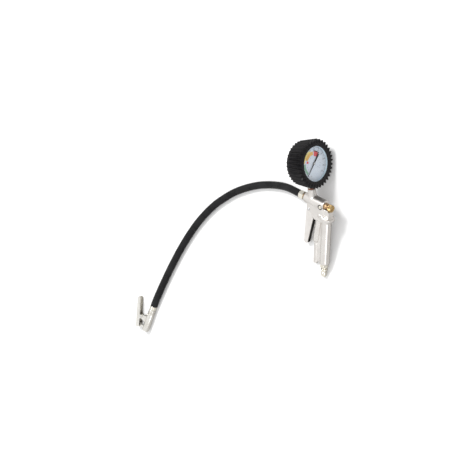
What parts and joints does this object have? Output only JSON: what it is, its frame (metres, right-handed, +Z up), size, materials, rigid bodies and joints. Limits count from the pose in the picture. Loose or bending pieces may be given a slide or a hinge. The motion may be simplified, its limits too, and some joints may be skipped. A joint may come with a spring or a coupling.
{
  "type": "tyre inflator with gauge",
  "caption": "Pistol-grip tyre inflator with a dial pressure gauge in a ribbed rubber boot, a trigger valve, a rubber hose and a clip-on valve chuck.",
  "frame": {"origin": "on the surface that the tool lies on, below the centre of the gun and gauge (the hose and chuck are not counted)", "axes": "+Z up from the surface, +Y along the chuck from its mouth towards the hose, +X towards the rear of the gun"},
  "size_m": [0.32, 0.4728, 0.0842],
  "materials": {
    "cast_aluminium": "satin die-cast",
    "brass": "machined",
    "nickel": "satin nickel plate",
    "steel": "bright",
    "case_steel": "semi-gloss black",
    "black_paint": "satin black",
    "dial_white": "printed satin",
    "boot_rubber": "moulded matte",
    "hose_rubber": "smooth semi-gloss",
    "seal_rubber": "matte",
    "nylon": "matte",
    "fibre": "matte",
    "lens": "clear polished"
  },
  "bodies": {
    "gun": {"gun_body": "cast_aluminium", "side_screw": "nickel", "hose_nipple": "brass", "hose_nut": "nickel", "bleed_body": "brass", "bleed_spring": "steel", "trigger_pin": "steel", "valve_guide": "brass", "valve_packing": "seal_rubber", "valve_seat": "nylon", "valve_spring": "steel", "inlet_plug": "nickel", "inlet_seal": "seal_rubber", "inlet_filter": "brass", "gauge_boot": "boot_rubber", "gauge_case": "case_steel", "gauge_bezel": "black_paint", "gauge_lens": "lens", "dial_plate": "dial_white", "movement_front_plate": "brass", "movement_back_plate": "brass", "movement_pillar_left": "brass", "movement_pillar_right": "brass", "bourdon_tube": "brass", "zero_stop": "steel", "hairspring": "steel", "gauge_socket": "brass", "socket_washer": "fibre", "hose": "hose_rubber", "chuck_ferrule": "nickel", "chuck_nipple": "brass", "chuck_body": "nickel", "chuck_lever_pin": "steel", "chuck_lever_spring": "steel", "chuck_gland": "seal_rubber", "chuck_depressor_spring": "steel"},
    "trigger_unit": {"trigger": "cast_aluminium"},
    "valve_unit": {"valve_stem": "steel"},
    "bleed_unit": {"bleed_knob": "brass", "bleed_stem": "steel"},
    "sector_unit": {"sector_gear": "brass", "bourdon_link": "steel"},
    "pointer_unit": {"pointer": "black_paint", "pointer_hub": "steel", "pinion_shaft": "brass"},
    "lever_unit": {"chuck_lever": "nickel"},
    "depressor_unit": {"chuck_depressor": "brass"}
  },
  "joints": [
    {"name": "trigger_pull", "type": "hinge", "parent": "gun", "child": "trigger_unit", "pos_m": [-0.00067, -0.00454, 0.02435], "axis": [-0.1916, -0.2841, 0.9394], "range_deg": [0, 7], "stiffness_Nm_per_rad": 1},
    {"name": "valve_push", "type": "slide", "parent": "gun", "child": "valve_unit", "axis": [0.9588, 0.1502, 0.241], "range_m": [0, 0.001]},
    {"name": "bleed_press", "type": "slide", "parent": "gun", "child": "bleed_unit", "axis": [-0.9696, -0.0938, -0.2261], "range_m": [0, 0.002], "stiffness_N_per_m": 1500},
    {"name": "sector_swing", "type": "hinge", "parent": "gun", "child": "sector_unit", "pos_m": [-0.02077, 0.05469, 0.03816], "axis": [0.8812, 0.3718, 0.2922], "range_deg": [0, 30], "stiffness_Nm_per_rad": 0.02},
    {"name": "pointer_turn", "type": "hinge", "parent": "gun", "child": "pointer_unit", "pos_m": [-0.02022, 0.06878, 0.04254], "axis": [0.8812, 0.3718, 0.2922], "range_deg": [-270, 0]},
    {"name": "lever_squeeze", "type": "hinge", "parent": "gun", "child": "lever_unit", "pos_m": [-0.24235, -0.3419, 0.00635], "axis": [0, 0, -1], "range_deg": [0, 22], "stiffness_Nm_per_rad": 0.6},
    {"name": "depressor_push", "type": "slide", "parent": "gun", "child": "depressor_unit", "axis": [0, 1, 0], "range_m": [0, 0.0018], "stiffness_N_per_m": 1200}
  ],
  "couplings": [
    {"joint": "valve_push", "follows": "trigger_pull", "m_per_rad": 0.008},
    {"joint": "pointer_turn", "follows": "sector_swing", "ratio": -9}
  ]
}
